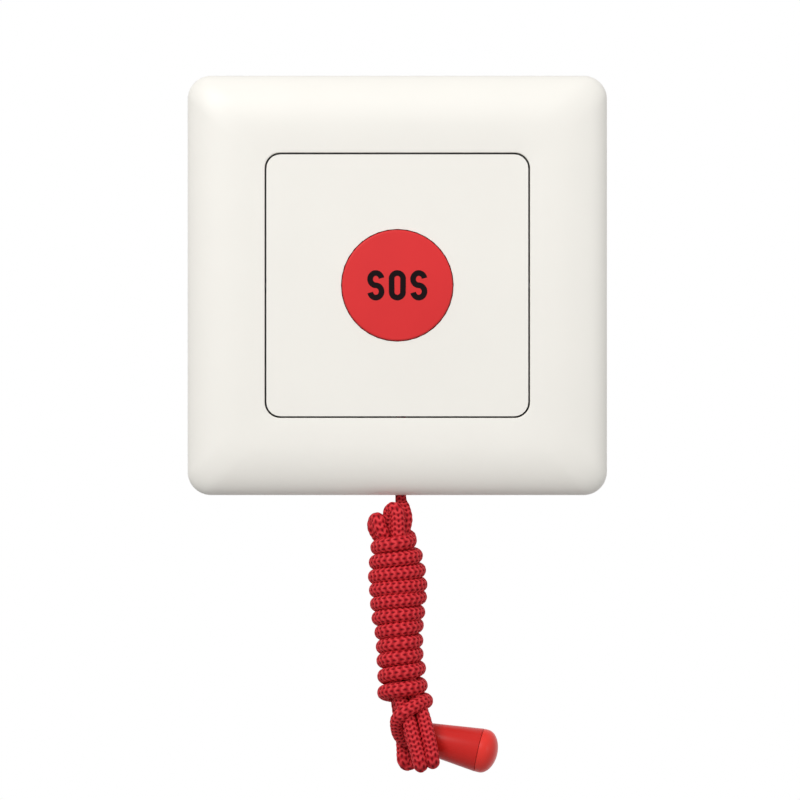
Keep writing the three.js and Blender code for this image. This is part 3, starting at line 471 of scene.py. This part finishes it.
def make_knob():
    shell = turned("pull_knob_shell", knob_profile(), knob_sides, knob_end, knob_axis)
    cap = turned("knob_cap_dome", cap_profile(), knob_sides, knob_end, knob_axis)
    for piece, node in ((shell, "pull_knob"), (cap, "knob_cap")):
        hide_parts(node)
        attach(piece, "cord")
    dress(shell, red_plastic("knob_red", (0.620, 0.020, 0.016), 0.3))
    # The cap gets a lighter red than the shell: a painted highlight for the light falling on its dome.
    dress(cap, red_plastic("cap_red_painted_highlight", (0.800, 0.040, 0.030), 0.3))


# Push button

button_radius = 11.35
button_face = -12.9
button_edge = 0.4
button_edge_steps = 8
button_sides = 128
button_cap = 1.6
flange_radius = 12.1
flange_front = -10.2
flange_back = -9.0
button_back = -7.5
button_skirt_wall = 1.5
spring_boss_radius = 3.3
spring_boss_height = 0.7
stem_radius = 2.2
stem_nose_radius = 0.6
stem_nose = 1.5


def make_button():
    _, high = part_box("push_button")
    tip = high.y / MM
    inner_face = button_face + button_cap
    edge = [
        (button_radius - button_edge + x, button_face + button_edge - y)
        for x, y in quarter(button_edge, button_edge, button_edge_steps)
    ]
    profile = [
        (0, button_face),
        *edge[::-1],
        (button_radius, flange_front), (flange_radius, flange_front),
        (flange_radius, flange_back), (button_radius, flange_back),
        (button_radius, button_back), (button_radius - button_skirt_wall, button_back),
        (button_radius - button_skirt_wall, inner_face), (spring_boss_radius, inner_face),
        (spring_boss_radius, inner_face + spring_boss_height),
        (stem_radius, inner_face + spring_boss_height),
        (stem_radius, tip - stem_nose), (stem_nose_radius, tip), (0, tip),
    ]
    piece = turned("push_button_cap", profile, button_sides, (0, 0, 0), (0, 1, 0))
    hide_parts("push_button")
    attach(piece, "button")
    dress(piece, red_plastic("button_red", (0.710, 0.032, 0.034), 0.45))


# Legend on the button: three plain letters, printed in black

letter_height = 6.2
letter_width = 3.5
letter_stroke = 1.15
letter_gap = 0.9
print_lift = 0.02
print_depth = 0.03
o_steps = 32
s_steps = 19
s_sweep = (10, 265)  # the upper bow of an S, in degrees


def letter_o():
    """The middle line of an O."""
    half_x = (letter_width - letter_stroke) / 2
    half_z = (letter_height - letter_stroke) / 2
    straight = half_z - half_x
    line = []
    for i in range(o_steps):
        angle = 2 * math.pi * i / o_steps
        shift = math.copysign(straight, math.sin(angle))
        line.append((half_x * math.cos(angle), half_x * math.sin(angle) + shift))
    return line


def letter_s():
    """The middle line of an S, from its upper right end to its lower left end."""
    half_x = (letter_width - letter_stroke) / 2
    radius = (letter_height - letter_stroke) / 4
    upper = [
        (half_x * math.cos(angle), radius + radius * math.sin(angle))
        for angle in np.radians(np.linspace(*s_sweep, s_steps + 1))
    ]
    lower = [(-x, -z) for x, z in reversed(upper)]
    return upper + lower


def ribbon(line, closed):
    """A flat stroke along a line in X and Z, as points and quads."""
    line = np.asarray(line)
    if closed:
        ahead = np.roll(line, -1, axis=0) - np.roll(line, 1, axis=0)
    else:
        ahead = np.gradient(line, axis=0)
    ahead /= np.linalg.norm(ahead, axis=1)[:, None]
    out = np.column_stack([-ahead[:, 1], ahead[:, 0]]) * letter_stroke / 2
    points = []
    for y in (button_face - print_lift - print_depth, button_face - print_lift):
        for edge in (line - out, line + out):
            points.extend((x, y, z) for x, z in edge)
    count = len(line)
    spans = count if closed else count - 1
    faces = []
    for i in range(spans):
        j = (i + 1) % count
        faces.append((i, j, count + j, count + i))
        faces.append((2 * count + i, 3 * count + i, 3 * count + j, 2 * count + j))
        faces.append((i, 2 * count + i, 2 * count + j, j))
        faces.append((count + i, count + j, 3 * count + j, 3 * count + i))
    if not closed:
        faces.append((0, count, 3 * count, 2 * count))
        faces.append((count - 1, 3 * count - 1, 4 * count - 1, 2 * count - 1))
    return points, faces


def make_legend():
    step = letter_width + letter_gap
    letters = ((-step, letter_s(), False), (0, letter_o(), True), (step, letter_s(), False))
    points, faces = [], []
    for place, line, closed in letters:
        more_points, more_faces = ribbon(line, closed)
        first = len(points)
        points.extend((x + place, y, z) for x, y, z in more_points)
        faces.extend(tuple(first + i for i in face) for face in more_faces)
    piece = mesh_piece("button_legend", points, faces, smooth=False)
    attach(piece, "button")
    dress(piece, plastic("legend_ink", (0.008, 0.004, 0.005), 0.8, grain=0.02, shine=0.1))


# Front frame, smooth all over

panel_half = 26.825
panel_gap = 0.35
panel_corner = 2.85
plate_corner = 4.8
land_width = 5.3
crown_height = 5.5
frame_wall = 2
lip_depth = 4.5
lip_wall = 1.6
mouth_edge = 0.25
mouth_steps = 5
crown_steps = 28
corner_steps = 16
opening_half = panel_half + panel_gap
crown_start = opening_half + land_width


def crown(inset):
    """The crown's quarter ellipse from the side of the frame to its front."""
    width = plate_half - crown_start - inset
    height = crown_height - inset
    side = plate_depth - crown_height
    return [(crown_start + x, -side - y) for x, y in quarter(width, height, crown_steps)]


def frame_section():
    front = -plate_depth
    lip_back = front + lip_depth
    lip_half = opening_half + lip_wall
    mouth_round = quarter(mouth_edge, mouth_edge, mouth_steps)
    mouth = [(opening_half + mouth_edge - x, front + mouth_edge - y) for x, y in mouth_round]
    return [
        (plate_half, 0),
        *crown(0),
        *mouth[::-1],
        (opening_half, lip_back),
        (lip_half, lip_back),
        (lip_half, front + frame_wall),
        *crown(frame_wall)[::-1],
        (plate_half - frame_wall, 0),
    ]


def square_loop(half, y):
    """A rounded square in X and Z; its corners open out from the panel's radius to the plate's."""
    share = (half - opening_half) / (plate_half - opening_half)
    inner = panel_corner + panel_gap
    radius = inner + (plate_corner - inner) * share
    points = []
    for corner in range(4):
        start = corner * math.pi / 2
        x = math.copysign(half - radius, math.cos(start + math.pi / 4))
        z = math.copysign(half - radius, math.sin(start + math.pi / 4))
        for step in range(corner_steps + 1):
            angle = start + step / corner_steps * math.pi / 2
            points.append((x + radius * math.cos(angle), y, z + radius * math.sin(angle)))
    return points


rib_places = (-24, -8, 8, 24)
rib_half = 0.5
rib_back = -7.2
hook_places = (-22, 22)
hook_half = 3
hook_reach = 0.9
hook_front = -4.6
hook_back = -2.6
weld = 0.2
slot_radius = 2.6
slot_top = -40.7
slot_steps = 24
cut_past = 1  # how far a cut runs past the surface


def frame_rib(x, quarter_turns):
    """A rib between the lip and the outer wall, on one of the four sides."""
    middle = frame_wall / 2
    lip_half = opening_half + lip_wall
    outline = [(rib_back, lip_half - weld), (middle - plate_depth, lip_half - weld)]
    outline += [(min(y, rib_back), half) for half, y in crown(middle)[::-4]]
    ends = []
    for side in (x - rib_half, x + rib_half):
        spin = quarter_turns * math.pi / 2
        c, s = round(math.cos(spin)), round(math.sin(spin))
        ends.append([(side * c + z * s, y, z * c - side * s) for y, z in outline])
    return prism(*ends)


def frame_hook(side, place):
    """A hook on a side wall, which catches the yoke's rim."""
    inner = plate_half - frame_wall
    outline = [(inner + weld, hook_back), (inner - hook_reach, hook_back), (inner + weld, hook_front)]
    return prism(*([(side * x, y, place + end) for x, y in outline] for end in (-hook_half, hook_half)))


def bush_slot():
    """The slot in the lower edge that lets the frame slide over the cord's bush."""
    arc = [
        (cord_x + slot_radius * math.cos(angle), cord_y - slot_radius * math.sin(angle))
        for angle in np.linspace(0, math.pi, slot_steps + 1)
    ]
    outline = [(cord_x + slot_radius, cut_past), *arc, (cord_x - slot_radius, cut_past)]
    return prism(*([(x, y, z) for x, y in outline] for z in (-plate_half - cut_past, slot_top)))


def joined_prisms(name, prisms):
    points, faces = [], []
    for more_points, more_faces in prisms:
        first = len(points)
        points.extend(more_points)
        faces.extend(tuple(first + i for i in face) for face in more_faces)
    return mesh_piece(name, points, faces, smooth=False)


def make_frame():
    loops = [square_loop(half, y) for half, y in frame_section()]
    sides = len(loops[0])
    count = len(loops)
    points = [point for loop in loops for point in loop]
    faces = []
    for i in range(count):
        here, there = i * sides, (i + 1) % count * sides
        for j in range(sides):
            k = (j + 1) % sides
            faces.append((here + j, here + k, there + k, there + j))
    piece = mesh_piece("front_frame_shell", points, faces)
    ribs = [frame_rib(x, side) for side in range(4) for x in rib_places]
    hooks = [frame_hook(side, place) for side in (-1, 1) for place in hook_places]
    combine(piece, joined_prisms("frame_ribs", ribs + hooks), "UNION")
    combine(piece, joined_prisms("frame_slot", [bush_slot()]), "DIFFERENCE")
    piece.data.shade_smooth()
    piece.data.set_sharp_from_angle(angle=math.radians(40))
    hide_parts("front_frame")
    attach(piece, "wall_unit")
    dress(piece, ivory_plastic("frame_ivory"))


# Springs

spring_wire = 0.4  # the wire's radius
spring_turns = 5
spring_end_turns = 0.75  # how much of each end's turn lies flat
spring_turn_steps = 48
spring_wire_sides = 12


def spring_line(radius, front, back):
    """The middle line of the button's spring, with flat end turns."""
    turns = np.linspace(0, spring_turns, spring_turns * spring_turn_steps + 1)
    angle = 2 * math.pi * turns
    rise = np.clip((turns - spring_end_turns) / (spring_turns - 2 * spring_end_turns), 0, 1)
    return np.column_stack([radius * np.cos(angle), front + (back - front) * rise, radius * np.sin(angle)])


def make_button_spring():
    low, high = (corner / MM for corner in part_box("button_spring"))
    radius = (high.x - low.x) / 2 - spring_wire
    line = spring_line(radius, low.y + spring_wire, high.y - spring_wire)
    count = len(line)
    sideways, ups = carried_frames(line)
    points = []
    for centre, side, up in zip(line, sideways, ups):
        for j in range(spring_wire_sides):
            angle = 2 * math.pi * j / spring_wire_sides
            points.append(centre + spring_wire * (side * math.cos(angle) + up * math.sin(angle)))
    faces = ring_faces(count, spring_wire_sides)
    faces.append(tuple(reversed(range(spring_wire_sides))))
    faces.append(tuple(range((count - 1) * spring_wire_sides, count * spring_wire_sides)))
    piece = mesh_piece("button_spring_coil", points, faces)
    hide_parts("button_spring")
    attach(piece, "wall_unit")
    dress(piece, brushed_metal("spring_steel", (0.50, 0.51, 0.53), 0.28))
    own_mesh(piece)


def make_crank_spring():
    """The twist spring winds up: its far leg stays with the yoke and its near leg turns with the crank."""
    solid = nodes["crank_spring"]
    # The twist spring: a smooth-shaded copy of its solid, in steel, in the solid's place.
    piece = link("crank_spring_coil", solid.data.copy())
    piece.matrix_world = solid.matrix_world
    piece.data.shade_smooth()
    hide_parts("crank_spring")
    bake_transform(piece)
    dress(piece, brushed_metal("crank_spring_steel", (0.50, 0.51, 0.53), 0.28))


# Materials

def new_material(name):
    material = bpy.data.materials.new(name)
    material.use_nodes = True
    tree = material.node_tree
    return material, tree, tree.nodes["Principled BSDF"]


def node(tree, kind, inputs=None, **settings):
    made = tree.nodes.new(kind)
    for key, value in settings.items():
        setattr(made, key, value)
    for key, value in (inputs or {}).items():
        socket = made.inputs[key]
        if isinstance(value, bpy.types.NodeSocket):
            tree.links.new(value, socket)
        else:
            socket.default_value = value
    return made


def maths(tree, operation, *values, clamp=False):
    made = node(tree, "ShaderNodeMath", dict(enumerate(values)), operation=operation, use_clamp=clamp)
    return made.outputs[0]


def noise(tree, scale, detail=3.0, roughness=0.55, stretch=(1, 1, 1)):
    place = node(tree, "ShaderNodeTexCoord").outputs["Object"]
    scaled = node(tree, "ShaderNodeMapping", {"Vector": place, "Scale": stretch})
    made = node(tree, "ShaderNodeTexNoise", {
        "Vector": scaled.outputs[0], "Scale": scale, "Detail": detail, "Roughness": roughness})
    return made.outputs["Fac"]


def blend_colours(tree, factor, low, high, start=0.3, end=0.7):
    ramp = node(tree, "ShaderNodeValToRGB", {0: factor})
    ramp.color_ramp.elements[0].position = start
    ramp.color_ramp.elements[1].position = end
    ramp.color_ramp.elements[0].color = (*low, 1)
    ramp.color_ramp.elements[1].color = (*high, 1)
    return ramp.outputs["Color"]


def spread(tree, factor, low, high):
    made = node(tree, "ShaderNodeMapRange", {"Value": factor, "To Min": low, "To Max": high})
    return made.outputs["Result"]


def roughen(tree, shader, height, strength, distance):
    bump = node(tree, "ShaderNodeBump", {"Height": height, "Strength": strength, "Distance": distance})
    tree.links.new(bump.outputs["Normal"], shader.inputs["Normal"])


def shades(colour, change):
    """A colour a little darker and a little lighter."""
    return tuple(c * (1 - change) for c in colour), tuple(min(1.0, c * (1 + change)) for c in colour)


def plastic(name, colour, roughness, grain=0.06, change=0.02, shine=0.5):
    """Moulded plastic: faint flow marks in its colour, a fine grain and uneven gloss."""
    material, tree, shader = new_material(name)
    low, high = shades(colour, change)
    clouds = noise(tree, 60, detail=2)
    tree.links.new(blend_colours(tree, clouds, low, high), shader.inputs["Base Color"])
    gloss = noise(tree, 350, detail=3)
    tree.links.new(spread(tree, gloss, roughness - 0.05, roughness + 0.07), shader.inputs["Roughness"])
    roughen(tree, shader, noise(tree, 2600, detail=2), grain, 0.00005)
    shader.inputs["IOR"].default_value = 1.5
    shader.inputs["Specular IOR Level"].default_value = shine
    return material


def ivory_plastic(name):
    return plastic(name, (0.885, 0.862, 0.805), 0.45, grain=0.05, change=0.008)


def red_plastic(name, colour, roughness):
    return plastic(name, colour, roughness, grain=0.04, change=0.03, shine=0.18)


def brushed_metal(name, colour, roughness):
    """Metal with fine drawing marks."""
    material, tree, shader = new_material(name)
    low, high = shades(colour, 0.12)
    marks = noise(tree, 900, detail=4, stretch=(1, 1, 0.12))
    tree.links.new(blend_colours(tree, marks, low, high), shader.inputs["Base Color"])
    tree.links.new(spread(tree, marks, roughness - 0.08, roughness + 0.12), shader.inputs["Roughness"])
    roughen(tree, shader, marks, 0.15, 0.00003)
    shader.inputs["Metallic"].default_value = 1.0
    return material


def board_material():
    """Green solder mask over fine tracks."""
    material, tree, shader = new_material("board_green")
    place = node(tree, "ShaderNodeTexCoord").outputs["Object"]
    tracks = node(tree, "ShaderNodeTexBrick", {
        "Vector": place, "Scale": 160.0, "Mortar Size": 0.06,
        "Color1": (0.012, 0.11, 0.035, 1), "Color2": (0.014, 0.125, 0.04, 1),
        "Mortar": (0.03, 0.19, 0.07, 1)})
    tree.links.new(tracks.outputs["Color"], shader.inputs["Base Color"])
    tree.links.new(spread(tree, noise(tree, 500), 0.3, 0.42), shader.inputs["Roughness"])
    roughen(tree, shader, tracks.outputs["Fac"], 0.2, 0.00003)
    return material


def braid_height(tree, around, along):
    """The relief that stitch_height gives, from 0 in a pit to 1 on a strand."""
    half = maths(tree, "FRACT", maths(tree, "MULTIPLY", around, 0.5))
    lean = maths(tree, "ABSOLUTE", maths(tree, "MULTIPLY_ADD", half, 2.0, -1.0))
    phase = maths(tree, "MULTIPLY_ADD", lean, -0.5, maths(tree, "ADD", along, 0.5))
    wave = maths(tree, "ABSOLUTE", maths(tree, "SINE", maths(tree, "MULTIPLY", phase, math.pi)))
    strand = maths(tree, "POWER", wave, pit_length)
    shifted = maths(tree, "FRACT", maths(tree, "ADD", around, 0.5))
    aside = maths(tree, "ABSOLUTE", maths(tree, "SUBTRACT", shifted, 0.5))
    near = maths(tree, "MULTIPLY_ADD", aside, -1 / pit_reach, 1.0, clamp=True)
    near = maths(tree, "MULTIPLY", near, near)
    depth = maths(tree, "MULTIPLY_ADD", near, 1 - groove_share, groove_share)
    height = maths(tree, "MULTIPLY_ADD", maths(tree, "SUBTRACT", strand, 1.0), depth, 1.0)
    return height, phase, aside


def braid_material():
    """Red braid: its colour darkens into the pits between knitted strands as painted shade and lightens on
    the strand tops as painted highlight, with fine yarn along each strand.
    """
    material, tree, shader = new_material("red_braid_painted_shade_and_highlight")
    place = node(tree, "ShaderNodeUVMap", uv_map="braid").outputs[0]
    parts = node(tree, "ShaderNodeSeparateXYZ", {0: place})
    around = maths(tree, "MULTIPLY", parts.outputs[0], float(stitch_columns))
    height, phase, aside = braid_height(tree, around, parts.outputs[1])
    yarn_place = node(tree, "ShaderNodeCombineXYZ", {0: maths(tree, "MULTIPLY", phase, 9.0), 1: aside})
    yarn = node(tree, "ShaderNodeTexNoise", {"Vector": yarn_place.outputs[0], "Scale": 1.6, "Detail": 2.0})
    # The colour follows the relief: painted shade darkens the pits and a painted highlight lightens the
    # strand tops.
    ramp = node(tree, "ShaderNodeValToRGB", {0: height})
    shade_and_highlight_stops = ramp.color_ramp.elements
    shade_and_highlight_stops[0].position, shade_and_highlight_stops[0].color = 0.06, (0.075, 0.0, 0.003, 1)
    shade_and_highlight_stops[1].position, shade_and_highlight_stops[1].color = 1.0, (0.84, 0.055, 0.065, 1)
    for position, colour in ((0.5, (0.27, 0.004, 0.010, 1)), (0.86, (0.58, 0.018, 0.027, 1))):
        shade_and_highlight_stops.new(position).color = colour
    tint = blend_colours(tree, yarn.outputs["Fac"], (0.82, 0.82, 0.82), (1, 1, 1))
    mixed = node(tree, "ShaderNodeMix", data_type="RGBA", blend_type="MULTIPLY")
    mixed.inputs["Factor"].default_value = 1.0
    tree.links.new(ramp.outputs["Color"], mixed.inputs[6])
    tree.links.new(tint, mixed.inputs[7])
    tree.links.new(mixed.outputs[2], shader.inputs["Base Color"])
    rise = maths(tree, "MULTIPLY_ADD", yarn.outputs["Fac"], 0.25, height)
    roughen(tree, shader, rise, 0.6, 0.00015)
    shader.inputs["Roughness"].default_value = 0.65
    shader.inputs["Specular IOR Level"].default_value = 0.12
    return material


def dress(piece, material):
    piece.data.materials.clear()
    piece.data.materials.append(material)


def dress_node(name, material):
    for slot in nodes[name].material_slots:
        slot.material = material


def dress_solids():
    ivory = ivory_plastic("panel_ivory")
    nylon = plastic("grey_nylon", (0.66, 0.66, 0.64), 0.55, grain=0.12)
    black = plastic("black_plastic", (0.016, 0.016, 0.018), 0.42, grain=0.1)
    board = board_material()
    terminals = plastic("terminal_green", (0.03, 0.26, 0.08), 0.4)
    zinc = brushed_metal("zinc_steel", (0.56, 0.57, 0.6), 0.32)
    spring = brushed_metal("leaf_steel", (0.5, 0.51, 0.53), 0.28)
    brass = brushed_metal("brass", (0.58, 0.38, 0.12), 0.3)
    plunger = red_plastic("plunger_red", (0.5, 0.02, 0.02), 0.4)
    knot = braid_knot_material()
    worn = {
        "centre_panel": ivory, "mounting_yoke": nylon, "rear_housing": nylon, "cord_bush": nylon,
        "circuit_board": board, "button_switch_body": black, "cord_switch_body": black,
        "bell_crank": black, "crank_pin": zinc,
        "button_switch_leaf": spring, "cord_switch_leaf": spring,
        "button_switch_plunger": plunger, "cord_switch_plunger": plunger,
        "terminal_block": terminals, "cord_top_knot": knot, "knob_knot": knot,
    }
    for name in nodes:
        if name.startswith(("fixing_screw", "housing_screw", "terminal_screw")):
            worn[name] = zinc
        if name.startswith("terminal_cage"):
            worn[name] = brass
    for name, material in worn.items():
        dress_node(name, material)


def braid_knot_material():
    """The knots' braid, seen from close to; its colour darkens towards the cells' edges as painted shade
    between the strands.
    """
    material, tree, shader = new_material("red_knot_painted_shade")
    place = node(tree, "ShaderNodeTexCoord").outputs["Object"]
    cells = node(tree, "ShaderNodeTexVoronoi", {"Vector": place, "Scale": 900.0})
    # Painted shade: the red darkens towards the edges of the cells, between the strands.
    tree.links.new(
        blend_colours(tree, cells.outputs["Distance"], (0.66, 0.03, 0.03), (0.12, 0.0, 0.004), 0.1, 0.75),
        shader.inputs["Base Color"])
    roughen(tree, shader, cells.outputs["Distance"], 0.7, 0.0002)
    shader.inputs["Roughness"].default_value = 0.65
    return material


# Floor, backdrop and light

floor_height = -124
stage_half = 600
stage_glow = 0.66
sky_strength = 0.58
sky_slope = 0.05
lamp_target = (0, 0, -0.02)
lamps = {
    "key": {"place": (-0.45, -1.0, 0.6), "size": 0.5, "power": 7.8},
    "fill": {"place": (1.2, -0.95, -0.1), "size": 0.7, "power": 3.8},
}


def shows_white(tree):
    """1 for what the camera, a gloss or a lens sees, and 0 for light on the object."""
    rays = node(tree, "ShaderNodeLightPath").outputs
    seen = maths(tree, "MAXIMUM", rays["Is Camera Ray"], rays["Is Glossy Ray"])
    return maths(tree, "MAXIMUM", seen, rays["Is Transmission Ray"])


def stage_material():
    """Pale, with soft shadows, and close to white where the camera, a gloss or a lens sees it."""
    material, tree, shader = new_material("stage_white")
    mottle = noise(tree, 4, detail=2)
    tree.links.new(
        blend_colours(tree, mottle, (0.34, 0.34, 0.34), (0.36, 0.36, 0.36)), shader.inputs["Base Color"])
    shader.inputs["Roughness"].default_value = 0.9
    shader.inputs["Emission Color"].default_value = (1, 1, 1, 1)
    glow = maths(tree, "MULTIPLY", shows_white(tree), stage_glow)
    tree.links.new(glow, shader.inputs["Emission Strength"])
    return material


def make_stage():
    half = stage_half
    points = [(-half, -half, floor_height), (half, -half, floor_height),
              (half, half, floor_height), (-half, half, floor_height)]
    floor = mesh_piece("floor", points, [(0, 1, 2, 3)], smooth=False)
    dress(floor, stage_material())


def make_world():
    """White where it is seen, and a soft light that is a little stronger from above."""
    world = bpy.data.worlds.new("studio")
    world.use_nodes = True
    tree = world.node_tree
    light = tree.nodes["Background"]
    direction = node(tree, "ShaderNodeTexCoord").outputs["Generated"]
    height = node(tree, "ShaderNodeSeparateXYZ", {0: direction}).outputs[2]
    strength = maths(tree, "MULTIPLY_ADD", height, sky_slope, sky_strength)
    light.inputs["Color"].default_value = (1, 1, 1, 1)
    tree.links.new(strength, light.inputs["Strength"])
    shown = node(tree, "ShaderNodeBackground", {"Color": (1, 1, 1, 1), "Strength": 1.0})
    mix = node(tree, "ShaderNodeMixShader", {0: shows_white(tree)})
    tree.links.new(light.outputs[0], mix.inputs[1])
    tree.links.new(shown.outputs[0], mix.inputs[2])
    tree.links.new(mix.outputs[0], tree.nodes["World Output"].inputs["Surface"])
    bpy.context.scene.world = world


def make_lamp(name, place, size, power):
    data = bpy.data.lights.new(name, "AREA")
    data.shape = "DISK"
    data.size = size
    data.energy = power
    lamp = bpy.data.objects.new(name, data)
    lamp.location = place
    aim = Vector(lamp_target) - Vector(place)
    lamp.rotation_euler = aim.to_track_quat("-Z", "Y").to_euler()
    bpy.context.scene.collection.objects.link(lamp)


def make_lights():
    for name, values in lamps.items():
        make_lamp(name, **values)


make_camera()
make_knob()
make_cord()
make_button()
make_legend()
make_frame()
make_button_spring()
make_crank_spring()
dress_solids()
make_stage()
make_world()
make_lights()
bpy.context.scene.view_settings.view_transform = "Standard"
